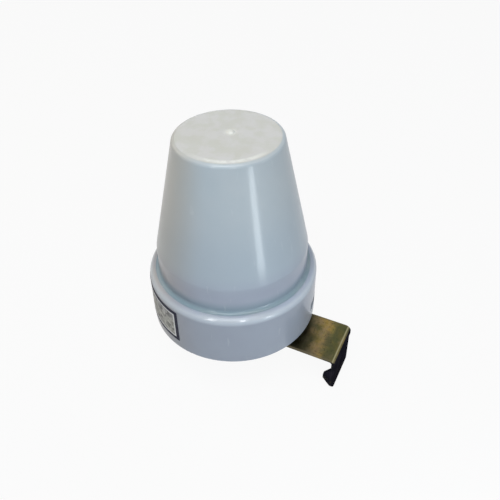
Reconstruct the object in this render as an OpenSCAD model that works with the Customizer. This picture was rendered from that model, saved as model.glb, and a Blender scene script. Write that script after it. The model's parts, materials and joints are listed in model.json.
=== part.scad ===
// Photocell switch: an opal cone cover over a round base plate that carries the
// switching circuit, held to a wall by a folded steel bracket.
// Millimetres, +Z up, bracket towards +X. The origin is the middle of the lead hole
// on the underside of the base plate, where the bracket seats.

/* [Cover] */
// Outside diameter of the skirt
skirt_d = 70; // [64:1:78]
// Height of the seam between skirt and cone above the skirt's lower edge
skirt_h = 24; // [22:0.5:32]
// Radius of the round shoulder at the top of the skirt
shoulder_r = 2.6; // [1:0.1:4]
// Set-back of the cone's side from the wall of the skirt, where its line would meet the seam
cone_inset = 1.7; // [1:0.1:4]
// Height of the upright neck between the seam and the cone
neck_h = 11.5; // [4:0.5:20]
// Radius of the bend between the neck and the cone
neck_round = 14; // [5:1:20]
// Radius of the cove between the shoulder and the neck
cove_r = 1.4; // [0.4:0.1:2]
// Diameter of the crown, at the corner before it is rounded
crown_d = 41; // [30:0.5:50]
// Height of the cover from the skirt's lower edge to the crown
cover_h = 83.3; // [72:0.1:100]
// Radius of the edge round the crown
crown_round = 1.8; // [0.5:0.1:4]
// Wall of the cover
cover_wall = 2; // [1.6:0.1:3]
// Radius of the lower outside edge of the skirt
rim_round = 0.6; // [0.2:0.1:1]
// Diameter of the moulding gate's mark on the crown
gate_d = 2.9; // [1:0.1:5]
// Height of the moulding gate's mark
gate_h = 0.5; // [0.2:0.1:1]
// Height of the tip that is snipped off the gate's mark
gate_snip = 0.12; // [0.05:0.01:0.3]
// Diameter of the dimple round the gate's mark
dimple_d = 10; // [6:0.5:16]
// Depth of the dimple
dimple_depth = 0.25; // [0.1:0.05:0.6]
// Offset of the gate's mark from the middle of the crown, along X
gate_x = -0.3; // [-4:0.1:4]
// Offset of the gate's mark from the middle of the crown, along Y
gate_y = 2.4; // [-4:0.1:4]
// Number of ribs inside the skirt that the base plate stops against
stop_ribs = 6; // [4:2:8]
// Thickness of a stop rib
stop_rib_t = 1.2; // [0.8:0.1:2]
// Depth of a stop rib, inwards from the wall
stop_rib_depth = 1.6; // [1:0.1:2.5]

/* [Snap latches] */
// Width of a latch window in the skirt
window_w = 9; // [8:0.5:14]
// Height of a latch window
window_h = 4; // [3:0.25:6]
// Height of a window's sill above the skirt's lower edge
window_sill = 6.2; // [6:0.1:10]
// Direction of the first latch window, seen from above
window_turn = 10; // [-15:1:15]
// Width of a latch
latch_w = 6; // [4:0.5:7]
// Reach of a latch's nose into its window
latch_nose = 1.5; // [0.8:0.1:1.7]
// Height of the flat outer face of a latch's nose
latch_land = 0.8; // [0.4:0.1:1.2]
// Gap between a latch and its window's sill and lintel
latch_clear = 0.2; // [0.1:0.05:0.4]
// Width of the slot on each side of a latch
latch_slot = 1; // [0.6:0.1:2]

/* [Base plate] */
// Drop of the base plate's underside below the skirt's lower edge
base_drop = 4.5; // [2:0.5:8]
// Thickness of the base plate's floor
floor_t = 2.5; // [2:0.1:4]
// Set-back of the base plate's drum from the outline of the skirt
drum_inset = 6.5; // [5:0.1:9]
// Wall of the drum
drum_wall = 2; // [1.2:0.1:3]
// Radius of the drum's lower edge
drum_round = 1.5; // [0.5:0.1:2]
// Height of the brim's underside above the skirt's lower edge
brim_recess = 1; // [0.5:0.1:2]
// Thickness of the brim
brim_t = 2; // [1.2:0.1:3]
// Wall of the spigot that stands inside the skirt
spigot_wall = 1.8; // [1.2:0.1:2.4]
// Height of the spigot's top above the skirt's lower edge
spigot_h = 9.5; // [8:0.1:12]
// Gap between the spigot and the skirt
spigot_clear = 0.15; // [0.05:0.05:0.4]

/* [Lead inlet] */
// Bore of the grommet that the leads pass through
lead_bore_d = 6; // [4:0.5:8]
// Rubber between the bore and the groove of the grommet
grommet_wall = 2.5; // [1.5:0.1:3]
// Reach of a grommet flange beyond the groove
grommet_flange = 2; // [1:0.1:2.5]
// Thickness of a grommet flange
grommet_flange_t = 1.5; // [1:0.1:2.5]
// Gap between the grommet and the hole that it sits in
grommet_clear = 0.05; // [0.02:0.01:0.2]

/* [Bracket] */
// Width of the bracket's strip
strip_w = 21; // [18:0.5:26]
// Thickness of the bracket's sheet
sheet_t = 1.5; // [1:0.1:2.5]
// Distance of the flange's outer face from the axis
flange_reach = 51; // [48:0.5:70]
// Gap between the grommet and the strip's inner end
strip_end_gap = 1.5; // [0.5:0.1:4]
// Radius of the corners at the strip's inner end
strip_corner_r = 4; // [1:0.5:8]
// Inside radius of the bend
bend_inner_r = 1; // [0.6:0.1:4]
// Depth of the flange below the base plate's underside
flange_depth = 18.5; // [16:0.5:40]
// Radius of the lower corners of the flange
flange_corner_r = 3; // [1:0.5:5]
// Depth of a stiffening ear, inwards from the flange's outer face
ear_depth = 4.6; // [3:0.1:8]
// Length of the blunt end of an ear
ear_flat = 2.2; // [0:0.1:5]
// Relief between the bend and the ears
ear_relief = 1.6; // [0.2:0.1:2]
// Inside radius of the corner between flange and ear
ear_inner_r = 0.5; // [0.3:0.1:1.5]
// Diameter of the wall screw's hole
wall_hole_d = 5; // [3.5:0.1:6]
// Distance of the wall screw's hole below the base plate's underside
wall_hole_drop = 10.5; // [8:0.5:14]

/* [Bracket screws] */
// Diameter of the bracket's screws
screw_d = 4; // [3:0.5:5]
// Length of a screw below its head
screw_l = 10; // [9:1:14]
// Diameter of a screw's head
screw_head_d = 8; // [6:0.1:9]
// Height of a screw's head
screw_head_h = 2.8; // [2:0.1:4]
// Distance between the two screws, across the strip
screw_spacing = 11; // [10:0.5:12]
// Distance of the first screw from the strip's inner end
screw_edge = 4.5; // [4:0.1:7]
// Gap between a screw and the holes that it passes
screw_clear = 0.25; // [0.1:0.05:0.5]
// Outside diameter of a spring washer
washer_d = 7.4; // [6:0.1:9]
// Thickness of a spring washer
washer_t = 0.9; // [0.6:0.1:1.4]
// Split in a spring washer
washer_split = 0.8; // [0.4:0.1:1.2]
// Width of a nut across its flats
nut_af = 7; // [5.5:0.5:8]
// Height of a nut
nut_h = 3.2; // [2.4:0.1:4]
// Gap between a nut and its pocket, and between a nut and its screw
nut_clear = 0.1; // [0.05:0.05:0.3]
// Wall of the boss around a nut's pocket
boss_wall = 1.2; // [0.8:0.1:2]

/* [Circuit board] */
// Diameter of the circuit board
board_d = 55; // [51:0.5:58]
// Thickness of the circuit board
board_t = 1.6; // [1:0.1:2.4]
// Gap between the top of the spigot and the circuit board's level
board_lift = 1; // [0.5:0.1:4]
// Distance of the board screws from the board's edge
post_edge = 5.5; // [4.5:0.1:6.5]
// Diameter of the posts under the board
post_d = 6.4; // [5:0.1:8]
// Core diameter of a board screw
board_screw_d = 2.2; // [1.6:0.1:3]
// Length of a board screw below its head
board_screw_l = 8; // [6:0.5:12]
// Diameter of a board screw's head
board_screw_head_d = 5; // [4:0.1:5.5]
// Height of a board screw's head
board_screw_head_h = 1.8; // [1.2:0.1:2.5]
// Gap between a board screw and the holes that it passes
board_screw_clear = 0.05; // [0.02:0.01:0.2]
// Diameter of the three lead holes in the board
lead_hole_d = 1.8; // [1:0.1:2.5]
// Distance between neighbouring lead holes
lead_pitch = 4; // [3:0.1:5]

/* [Large components] */
// Length of the relay
relay_l = 19.2; // [16:0.1:21]
// Width of the relay
relay_w = 15.5; // [12:0.1:16.5]
// Height of the relay
relay_h = 15.3; // [10:0.1:20]
// Place of the relay's middle on the board, along X
relay_x = -9; // [-10:0.1:-8]
// Place of the relay's middle on the board, along Y
relay_y = 2; // [1:0.1:3]
// Distance of the relay's pins from its ends
relay_pin_end = 3; // [2:0.1:4]
// Distance of the relay's pins from its sides
relay_pin_side = 1.75; // [1.5:0.05:3]
// Length of the dropper capacitor
dropper_l = 26.5; // [20:0.5:29]
// Width of the dropper capacitor
dropper_w = 10; // [6:0.1:10.5]
// Height of the dropper capacitor
dropper_h = 19; // [12:0.5:24]
// Distance between the dropper capacitor's legs
dropper_pitch = 22.5; // [15:0.5:22.5]
// Diameter of the smoothing capacitor
smoothing_d = 8; // [6.3:0.1:8.5]
// Height of the smoothing capacitor
smoothing_h = 12; // [9:0.5:16]
// Offset of the smoothing capacitor from the relay's middle, along Y
smoothing_shift = 3; // [2:0.1:4]
// Diameter of the timing capacitor
timing_d = 5; // [4:0.1:5.5]
// Height of the timing capacitor
timing_h = 11; // [7:0.5:14]
// Radius of the corners of the boxed components
case_round = 0.8; // [0.4:0.1:1.5]

/* [Small components] */
// Diameter of a rectifier diode
diode_d = 2.7; // [2:0.1:3]
// Length of a rectifier diode
diode_l = 5.2; // [4:0.1:6]
// Diameter of the zener diode
zener_d = 2; // [1.6:0.1:2.7]
// Length of the zener diode
zener_l = 4; // [3:0.1:5.5]
// Diameter of a resistor
resistor_d = 2.3; // [1.8:0.1:2.5]
// Length of a resistor
resistor_l = 6.3; // [5:0.1:6.5]
// Distance between the legs of a part that lies flat
axial_span = 9; // [8.6:0.1:10]
// Distance between neighbouring flat parts
axial_pitch = 3.2; // [3.1:0.1:3.6]
// Diameter of a transistor
transistor_d = 4.8; // [4:0.1:5]
// Height of a transistor's body
transistor_h = 4.6; // [3.5:0.1:5.5]
// Distance between neighbouring legs of a transistor
transistor_pitch = 1.9; // [1.8:0.05:2]
// Diameter of the varistor's disc
varistor_d = 9; // [7:0.1:10]
// Thickness of the varistor's disc
varistor_t = 4; // [3:0.1:5]
// Distance between the varistor's legs
varistor_pitch = 5; // [3.5:0.5:5.5]

/* [Photoresistor] */
// Diameter of the photoresistor's disc
ldr_d = 5.1; // [4.5:0.1:7]
// Width of the photoresistor across its flats
ldr_flats = 4.3; // [3.5:0.1:4.5]
// Thickness of the photoresistor
ldr_t = 2.1; // [1.5:0.1:3]
// Height of the photoresistor above the board
ldr_lift = 20; // [12:0.5:30]
// Distance between the photoresistor's legs
ldr_pitch = 3.4; // [3:0.1:3.6]
// Wall of the sleeve on a leg
sleeve_wall = 0.35; // [0.2:0.05:0.5]
// Length of the sleeve on a leg
sleeve_l = 17; // [8:0.5:19]

/* [Legs and solder] */
// Diameter of a component leg
leg_d = 0.7; // [0.5:0.05:0.8]
// Gap between a leg and its hole or sleeve
leg_clear = 0.1; // [0.05:0.05:0.15]
// Length of a leg below the board
leg_stub = 1.5; // [1:0.1:2]
// Middle radius of the bend in a leg
leg_bend_r = 0.8; // [0.5:0.1:1]
// Diameter of a solder joint at the board
solder_d = 1.75; // [1.2:0.05:1.8]
// Gap between a leg and the solder round it
solder_clear = 0.02; // [0.01:0.01:0.05]
// Height of a solder joint
solder_h = 1.1; // [0.6:0.1:1.4]
// Height of a component's seat above the board
seat_gap = 0.3; // [0.1:0.1:1]
// Height of the transistors and of the disc above the board
stand_off = 2; // [1:0.1:4]
// Gap between neighbouring components
part_gap = 3.5; // [3:0.1:3.8]

/* [Rating label] */
// Height of the label
label_h = 16; // [8:0.5:17]
// Width of the label, along the skirt
label_w = 33; // [16:0.5:60]
// Height of the label's lower edge above the skirt's lower edge
label_lift = 4.4; // [2:0.1:6]
// Direction of the label's nearer edge, seen from above
label_turn = -102.5; // [-140:0.5:-60]
// Thickness of the label
label_t = 0.15; // [0.1:0.05:0.3]
// Thickness of the adhesive under the label
label_glue = 0.03; // [0.01:0.01:0.1]

/* [Hidden] */
$fn = 96;

// Length that a cutting tool runs past the face that it cuts
over = 1;

// Cover
// Angle at which the neck's rounds meet the lines beside them
round_lap = 4;
skirt_r = skirt_d / 2;
bore_r = skirt_r - cover_wall;
cone_foot_r = skirt_r - cone_inset;
crown_r = crown_d / 2;
cone_slope = (cone_foot_r - crown_r) / (cover_h - skirt_h);
cone_angle = atan(cone_slope);
neck_top = skirt_h + neck_h;
neck_r = cone_r(neck_top);
neck_inner_r = neck_r - cover_wall;
neck_inner_top = skirt_h + (cone_foot_r - cover_wall / cos(cone_angle) - neck_inner_r) / cone_slope;
crown_arc_r = crown_r - crown_round * (1 - sin(cone_angle)) / cos(cone_angle);
gate_tip = gate_h + gate_snip;
gate_ball_r = (pow(gate_d / 2, 2) + pow(gate_tip, 2)) / (2 * gate_tip);
dimple_ball_r = (pow(dimple_d / 2, 2) + pow(dimple_depth, 2)) / (2 * dimple_depth);
latch_turns = [window_turn, window_turn + 180];

// Base plate
drum_r = skirt_r - drum_inset;
drum_inner_r = drum_r - drum_wall;
spigot_r = bore_r - spigot_clear;
spigot_inner_r = spigot_r - spigot_wall;
brim_z = base_drop + brim_recess;
spigot_z = base_drop + spigot_h;
nose_z = base_drop + window_sill + latch_clear;
latch_z = base_drop + window_sill + window_h - latch_clear;
latch_angle = 2 * asin(latch_w / 2 / spigot_r);
slot_angle = 2 * asin((latch_w / 2 + latch_slot) / spigot_r);

// Lead inlet
groove_r = lead_bore_d / 2 + grommet_wall;
grommet_r = groove_r + grommet_flange;

// Bracket
strip_start = grommet_r + strip_end_gap;
bend_r = bend_inner_r + sheet_t;
flange_top = -bend_r - ear_relief;
screw_at = [for (side = [-1, 1]) [strip_start + screw_edge, side * screw_spacing / 2]];
head_z = -sheet_t - washer_t;
boss_r = (nut_af / 2 + nut_clear) / cos(30) + boss_wall;
boss_z = floor_t + nut_h;

// Circuit board
board_z = spigot_z + board_lift;
board_top = board_z + board_t;
post_ring_r = board_d / 2 - post_edge;
post_at = [for (turn = [90, 210, 330]) post_ring_r * [cos(turn), sin(turn)]];
board_screw_tip = board_top - board_screw_l;

// Shares of a pan head's diameter and height that its recess and its round edge take
recess_l_share = 0.55;
recess_w_share = 0.13;
recess_h_share = 0.5;
head_round_share = 0.6;

// Shares of a can's diameter and height: distance of its legs, size and level of its groove
can_pitch_share = 0.42;
can_groove_share = 0.05;
can_groove_level = 0.15;

// Shares of a resistor's length and diameter: its caps, its waist and its edges
cap_share = 0.2;
waist_share = 0.42;
cap_edge_share = 0.12;

// Share of a transistor's diameter at which its flat lies
transistor_flat_share = 0.27;

// Share of a varistor's thickness that its round edge takes
varistor_edge_share = 0.3;

// Places of the components on the board
relay_at = [relay_x, relay_y];
relay_x1 = relay_at.x + relay_l / 2;
relay_y0 = relay_at.y - relay_w / 2;
relay_y1 = relay_at.y + relay_w / 2;
lead_hole_x = relay_at.x - relay_l / 2 - part_gap - lead_hole_d / 2;
dropper_at = [0, relay_y0 - part_gap - dropper_w / 2];
smoothing_at = [relay_x1 + part_gap + smoothing_d / 2, relay_at.y + smoothing_shift];
column_at = [smoothing_at.x + smoothing_d / 2 + part_gap - resistor_d / 2, relay_at.y];
diode_y = relay_y1 + part_gap / 2 + axial_span / 2;
diode_at = [for (i = [0:3]) [relay_at.x + (i - 1.5) * axial_pitch, diode_y]];
resistor_at = [for (i = [0:2]) column_at + [i * axial_pitch, 0]];
drop_resistor_at = [0, dropper_at.y - dropper_w / 2 - part_gap];
zener_at = column_at + [3 * axial_pitch, 0];
varistor_at = [smoothing_at.x, smoothing_at.y + smoothing_d / 2 + part_gap + varistor_t / 2];
timing_at = column_at + [axial_pitch, axial_span / 2 + part_gap + timing_d / 2];
transistor_y = column_at.y - axial_span / 2 - part_gap;
transistor_reach = (transistor_d + part_gap / 2) / 2;
transistor_at = [for (side = [-1, 1]) [column_at.x + side * transistor_reach, transistor_y]];
ldr_at = [relay_x1 + part_gap + ldr_pitch / 2, transistor_y];

// Legs of the components, as offsets from a component's own place
relay_pin_reach = [relay_l / 2 - relay_pin_end, relay_w / 2 - relay_pin_side];
relay_pins = [for (x = [-1, 1], y = [-1, 1]) [x * relay_pin_reach.x, y * relay_pin_reach.y]];
relay_legs = concat(relay_pins, [[relay_pin_side - relay_l / 2, 0]]);
dropper_legs = pair_of_legs(dropper_pitch);
smoothing_legs = pair_of_legs(smoothing_d * can_pitch_share);
timing_legs = pair_of_legs(timing_d * can_pitch_share);
transistor_legs = [for (i = [-1:1]) [i * transistor_pitch, 0]];
ldr_legs = pair_of_legs(ldr_pitch);
flat_legs = [for (s = [-1, 1]) [0, s * axial_span / 2]];
all_legs = concat(
    legs_at([relay_at], relay_legs),
    legs_at([dropper_at], dropper_legs),
    legs_at([smoothing_at], smoothing_legs),
    legs_at([timing_at], timing_legs),
    legs_at(diode_at, flat_legs),
    legs_at(resistor_at, flat_legs),
    legs_at([drop_resistor_at], pair_of_legs(axial_span)),
    legs_at([zener_at], flat_legs),
    legs_at(transistor_at, transistor_legs),
    legs_at([varistor_at], pair_of_legs(varistor_pitch)),
    legs_at([ldr_at], ldr_legs)
);
lead_holes = [for (i = [-1:1]) [lead_hole_x, relay_at.y + i * lead_pitch]];

function pair_of_legs(pitch) = [for (s = [-1, 1]) [s * pitch / 2, 0]];
function legs_at(places, legs) = [for (p = places, leg = legs) p + leg];
function cone_r(z) = cone_foot_r - (z - skirt_h) * cone_slope;
function cone_inner_r(z) = cone_r(z) - cover_wall / cos(cone_angle);

// A flat rectangle from the axis outwards, between two heights
module band(r0, r1, z0, z1) {
    translate([r0, z0]) square([r1 - r0, z1 - z0]);
}

// A part of a ring, swept about the axis and centred on +X
module sector(angle) {
    rotate([0, 0, -angle / 2]) rotate_extrude(angle = angle) children();
}

// The waste outside a quarter round of radius r, for a corner at the origin
module corner_waste(r) {
    difference() {
        translate([-r, -r]) square(r + over);
        translate([-r, -r]) circle(r);
    }
}

// A hexagonal prism, given by its width across the flats
module hex_prism(across, h) {
    cylinder(r = across / 2 / cos(30), h = h, $fn = 6);
}

// A rectangle with round corners, centred on the origin
module round_plate(size, r) {
    difference() {
        square(size, center = true);
        for (x = [0, 1], y = [0, 1])
            mirror([x, 0]) mirror([0, y]) translate(size / 2) corner_waste(r);
    }
}

// Outline of the neck and the cone, from inside the shoulder up to the crown
module cone_outside() {
    foot = skirt_h - cover_wall / 2;
    difference() {
        polygon([[0, foot], [neck_r, foot], [neck_r, neck_top], [crown_r, cover_h], [0, cover_h]]);
        neck_waste();
        crown_waste();
    }
}

// Outline of the cover's outside, from the axis outwards
module cover_outside() {
    difference() {
        band(0, skirt_r, 0, skirt_h);
        translate([skirt_r, skirt_h]) corner_waste(shoulder_r);
        translate([skirt_r, 0]) mirror([0, 1]) corner_waste(rim_round);
    }
    cone_outside();
    neck_cove();
}

// What the bend between neck and cone takes off their corner
module neck_waste() {
    normal = [cos(cone_angle), sin(cone_angle)];
    corner = [neck_r, neck_top];
    arc_at = corner - neck_round * cos(round_lap) * [1, tan(cone_angle / 2)];
    reach = neck_round + over;
    difference() {
        polygon([arc_at, arc_at + [reach, 0], corner + [over, 0], arc_at + reach * normal]);
        translate(arc_at) circle(neck_round);
    }
}

// The cove in the corner between shoulder and neck
module neck_cove() {
    corner = [neck_r, skirt_h];
    arc_at = corner + cove_r * cos(round_lap) * [1, 1];
    root = corner - cover_wall / 4 * [1, 1];
    difference() {
        translate(root) square(arc_at - root);
        translate(arc_at) circle(cove_r);
    }
}

// What the edge round takes off the crown's corner
module crown_waste() {
    normal = [cos(cone_angle), sin(cone_angle)];
    arc_at = [crown_arc_r, cover_h - crown_round];
    side_end = arc_at + crown_round * normal;
    difference() {
        polygon([
            [crown_arc_r, cover_h], side_end, side_end + over * normal,
            [crown_r + over, cover_h + over], [crown_arc_r, cover_h + over]
        ]);
        translate(arc_at) circle(crown_round);
    }
}

// What the shallow dimple takes off the crown
module dimple_waste() {
    floor_z = cover_h - dimple_depth;
    translate([gate_x, gate_y, 0]) rotate_extrude() intersection() {
        translate([0, floor_z + dimple_ball_r]) circle(dimple_ball_r);
        band(0, dimple_d, floor_z - over, cover_h + over);
    }
}

// The moulding gate's mark, a low dome with a snipped tip that stands in the dimple
module gate_mark() {
    root_z = cover_h - dimple_depth - cover_wall / 4;
    translate([gate_x, gate_y, 0]) rotate_extrude() intersection() {
        translate([0, cover_h + gate_tip - gate_ball_r]) circle(gate_ball_r);
        band(0, gate_d, root_z, cover_h + gate_h);
    }
}

// Outline of the hollow inside the cover
module cover_hollow() {
    shelf = skirt_h - cover_wall;
    roof = cover_h - cover_wall;
    foot = shelf - over;
    band(0, bore_r, -over, shelf);
    polygon([
        [0, foot], [neck_inner_r, foot], [neck_inner_r, neck_inner_top], [cone_inner_r(roof), roof], [0, roof]
    ]);
}

module cover() {
    shelf = skirt_h - cover_wall;
    color("lightsteelblue") translate([0, 0, base_drop]) {
        difference() {
            rotate_extrude() difference() {
                cover_outside();
                cover_hollow();
            }
            for (turn = latch_turns)
                rotate([0, 0, turn]) translate([bore_r - over, -window_w / 2, window_sill])
                    cube([cover_wall + 2 * over, window_w, window_h]);
            dimple_waste();
        }
        gate_mark();
        for (i = [0:stop_ribs - 1]) rotate([0, 0, (i + 0.5) * 360 / stop_ribs])
            translate([bore_r - stop_rib_depth, -stop_rib_t / 2, spigot_h])
                cube([stop_rib_depth + cover_wall / 2, stop_rib_t, shelf - spigot_h + cover_wall / 4]);
    }
}

// Outline of the base plate: floor, drum, brim and spigot
module base_outline() {
    difference() {
        union() {
            band(0, drum_r, 0, floor_t);
            band(drum_inner_r, drum_r, 0, brim_z + brim_t);
            band(drum_inner_r, spigot_r, brim_z, brim_z + brim_t);
            band(spigot_inner_r, spigot_r, brim_z, spigot_z);
        }
        translate([drum_r, 0]) mirror([0, 1]) corner_waste(drum_round);
    }
}

// Section of a snap latch: its tongue and the wedge of its nose
module latch_section() {
    tongue_r = spigot_r - spigot_clear;
    latch_root = brim_z + brim_t / 4;
    polygon([
        [spigot_inner_r, latch_root], [tongue_r, latch_root], [tongue_r, nose_z],
        [spigot_r + latch_nose, nose_z], [spigot_r + latch_nose, nose_z + latch_land],
        [tongue_r, latch_z], [spigot_inner_r, latch_z]
    ]);
}

module base_plate() {
    color("gainsboro") difference() {
        union() {
            difference() {
                rotate_extrude() base_outline();
                for (turn = latch_turns) rotate([0, 0, turn]) sector(slot_angle)
                    band(spigot_inner_r - latch_slot, spigot_r + over, brim_z + brim_t / 2, spigot_z + over);
            }
            for (turn = latch_turns) rotate([0, 0, turn]) sector(latch_angle) latch_section();
            for (p = screw_at) translate([p.x, p.y, floor_t / 2]) cylinder(r = boss_r, h = boss_z - floor_t / 2);
            for (p = post_at) translate([p.x, p.y, floor_t / 2]) cylinder(d = post_d, h = board_z - floor_t / 2);
        }
        translate([0, 0, -over]) cylinder(r = groove_r + grommet_clear, h = floor_t + 2 * over);
        for (p = screw_at) translate([p.x, p.y, -over])
            cylinder(d = screw_d + 2 * screw_clear, h = boss_z + 2 * over);
        for (p = screw_at) translate([p.x, p.y, floor_t]) hex_prism(nut_af + 2 * nut_clear, nut_h + over);
        for (p = post_at) translate([p.x, p.y, board_screw_tip - over])
            cylinder(d = board_screw_d + 2 * board_screw_clear, h = board_z - board_screw_tip + 2 * over);
    }
}

module lead_grommet() {
    color("dimgray") rotate_extrude() difference() {
        band(lead_bore_d / 2, grommet_r, -grommet_flange_t, floor_t + grommet_flange_t);
        band(groove_r, grommet_r + over, 0, floor_t);
        translate([grommet_r, -grommet_flange_t]) mirror([0, 1]) corner_waste(grommet_flange_t / 2);
        translate([grommet_r, floor_t + grommet_flange_t]) corner_waste(grommet_flange_t / 2);
    }
}

// The strip of the bracket from the side, with the bend at its end; x along the strip, y up
module strip_side() {
    bend_at = [flange_reach - bend_r, -bend_r];
    band(strip_start, bend_at.x, -sheet_t, 0);
    band(flange_reach - sheet_t, flange_reach, flange_top, bend_at.y);
    intersection() {
        translate(bend_at) difference() {
            circle(bend_r);
            circle(bend_inner_r);
        }
        translate(bend_at) square(bend_r + over);
    }
}

// The flange of the bracket and its ears from the side
module flange_side() {
    middle = (flange_top - flange_depth) / 2;
    ear_tip = flange_reach - ear_depth;
    band(flange_reach - sheet_t, flange_reach, -flange_depth, flange_top);
    polygon([
        [flange_reach, flange_top], [ear_tip, middle + ear_flat / 2],
        [ear_tip, middle - ear_flat / 2], [flange_reach, -flange_depth]
    ]);
}

// The flange of the bracket and its ears from above: a channel with round corners
module flange_plan() {
    inner_w = strip_w - 2 * sheet_t;
    difference() {
        band(flange_reach - ear_depth, flange_reach, -strip_w / 2, strip_w / 2);
        for (side = [0, 1]) mirror([0, side]) translate([flange_reach, strip_w / 2])
            corner_waste(ear_inner_r + sheet_t);
        difference() {
            band(flange_reach - ear_depth - over, flange_reach - sheet_t, -inner_w / 2, inner_w / 2);
            for (side = [0, 1]) mirror([0, side]) translate([flange_reach - sheet_t, inner_w / 2])
                corner_waste(ear_inner_r);
        }
    }
}

module mounting_bracket() {
    color("darkkhaki") difference() {
        union() {
            rotate([90, 0, 0]) linear_extrude(strip_w, center = true) strip_side();
            intersection() {
                translate([0, 0, -flange_depth]) linear_extrude(flange_depth + flange_top) flange_plan();
                rotate([90, 0, 0]) linear_extrude(strip_w, center = true) flange_side();
            }
        }
        for (p = screw_at) translate([p.x, p.y, -sheet_t - over])
            cylinder(d = screw_d + 2 * screw_clear, h = sheet_t + 2 * over);
        translate([flange_reach - sheet_t - over, 0, -wall_hole_drop]) rotate([0, 90, 0])
            cylinder(d = wall_hole_d, h = sheet_t + 2 * over);
        for (side = [0, 1]) mirror([0, side, 0]) translate([strip_start, strip_w / 2, -sheet_t - over])
            linear_extrude(sheet_t + 2 * over) mirror([1, 0]) corner_waste(strip_corner_r);
        for (side = [0, 1]) mirror([0, side, 0])
            translate([flange_reach - ear_depth - over, strip_w / 2, -flange_depth]) rotate([90, 0, 90])
                linear_extrude(ear_depth + 2 * over) mirror([0, 1]) corner_waste(flange_corner_r);
    }
}

// Screw with a pan head and a cross recess, its head below z = 0 and its shank upwards
module pan_screw(d, l, head_d, head_h) {
    recess_l = head_d * recess_l_share;
    recess_w = head_d * recess_w_share;
    recess_h = head_h * recess_h_share;
    difference() {
        union() {
            cylinder(d = d, h = l);
            rotate_extrude() mirror([0, 1]) difference() {
                band(0, head_d / 2, 0, head_h);
                translate([head_d / 2, head_h]) corner_waste(head_h * head_round_share);
            }
        }
        for (turn = [0, 90]) rotate([0, 0, turn]) translate([-recess_l / 2, -recess_w / 2, -head_h - over])
            cube([recess_l, recess_w, recess_h + over]);
    }
}

module bracket_screws() {
    color("silver") for (p = screw_at) translate([p.x, p.y, head_z])
        pan_screw(screw_d, screw_l, screw_head_d, screw_head_h);
}

module bracket_washers() {
    color("gray") for (p = screw_at) translate([p.x, p.y, head_z]) difference() {
        cylinder(d = washer_d, h = washer_t);
        translate([0, 0, -over]) cylinder(d = screw_d + screw_clear, h = washer_t + 2 * over);
        translate([0, -washer_split / 2, -over]) cube([washer_d, washer_split, washer_t + 2 * over]);
    }
}

module bracket_nuts() {
    color("silver") for (p = screw_at) translate([p.x, p.y, floor_t]) difference() {
        hex_prism(nut_af, nut_h);
        translate([0, 0, -over]) cylinder(d = screw_d + 2 * nut_clear, h = nut_h + 2 * over);
    }
}

module rating_label() {
    label_angle = label_w / skirt_r * 180 / PI;
    label_r = skirt_r + label_glue;
    color("navy") rotate([0, 0, label_turn - label_angle]) rotate_extrude(angle = label_angle)
        band(label_r, label_r + label_t, base_drop + label_lift, base_drop + label_lift + label_h);
}

module circuit_board() {
    color("darkgoldenrod") difference() {
        translate([0, 0, board_z]) cylinder(d = board_d, h = board_t);
        for (p = post_at) translate([p.x, p.y, board_z - over])
            cylinder(d = board_screw_d + 2 * board_screw_clear, h = board_t + 2 * over);
        for (p = all_legs) translate([p.x, p.y, board_z - over])
            cylinder(d = leg_d + 2 * leg_clear, h = board_t + 2 * over);
        for (p = lead_holes) translate([p.x, p.y, board_z - over])
            cylinder(d = lead_hole_d, h = board_t + 2 * over);
    }
}

module board_screws() {
    color("silver") for (p = post_at) translate([p.x, p.y, board_top]) mirror([0, 0, 1])
        pan_screw(board_screw_d, board_screw_l, board_screw_head_d, board_screw_head_h);
}

// Straight legs, from inside a body at height z above the board down through the board
module legs(places, z) {
    depth = board_t + leg_stub;
    for (p = places) translate([p.x, p.y, -depth]) cylinder(d = leg_d, h = depth + z);
}

// A boxed component with round corners, and its legs
module boxed_part(size, places) {
    translate([0, 0, seat_gap]) linear_extrude(size.z) round_plate([size.x, size.y], case_round);
    legs(places, seat_gap + case_round);
}

module relay() {
    vent_d = case_round * 2;
    color("royalblue") translate([relay_at.x, relay_at.y, board_top]) {
        boxed_part([relay_l, relay_w, relay_h], relay_legs);
        translate([relay_l / 2 - vent_d, relay_w / 2 - vent_d, relay_h]) cylinder(d = vent_d, h = seat_gap * 2);
    }
}

module dropper_capacitor() {
    color("gold") translate([dropper_at.x, dropper_at.y, board_top])
        boxed_part([dropper_l, dropper_w, dropper_h], dropper_legs);
}

// An electrolytic can: rolled groove near its foot, round top edge
module can(d, h, places) {
    groove = d * can_groove_share;
    translate([0, 0, seat_gap]) rotate_extrude() difference() {
        band(0, d / 2, 0, h);
        translate([d / 2, h * can_groove_level]) circle(groove);
        translate([d / 2, h]) corner_waste(groove * 2);
    }
    legs(places, seat_gap + groove);
}

module smoothing_capacitor() {
    color("midnightblue") translate([smoothing_at.x, smoothing_at.y, board_top])
        can(smoothing_d, smoothing_h, smoothing_legs);
}

module timing_capacitor() {
    color("midnightblue") translate([timing_at.x, timing_at.y, board_top]) can(timing_d, timing_h, timing_legs);
}

// The two bent legs of a part that lies flat along Y, its axis at height z above the board
module bent_legs(z) {
    reach = axial_span / 2 - leg_bend_r;
    depth = board_t + leg_stub;
    rotate([90, 0, 0]) translate([0, z, 0]) cylinder(d = leg_d, h = 2 * reach, center = true);
    for (side = [0, 1]) mirror([0, side, 0]) {
        translate([0, reach, z - leg_bend_r]) rotate([90, 0, 90]) rotate_extrude(angle = 90)
            translate([leg_bend_r, 0]) circle(d = leg_d);
        translate([0, axial_span / 2, -depth]) cylinder(d = leg_d, h = depth + z - leg_bend_r);
    }
}

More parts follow.
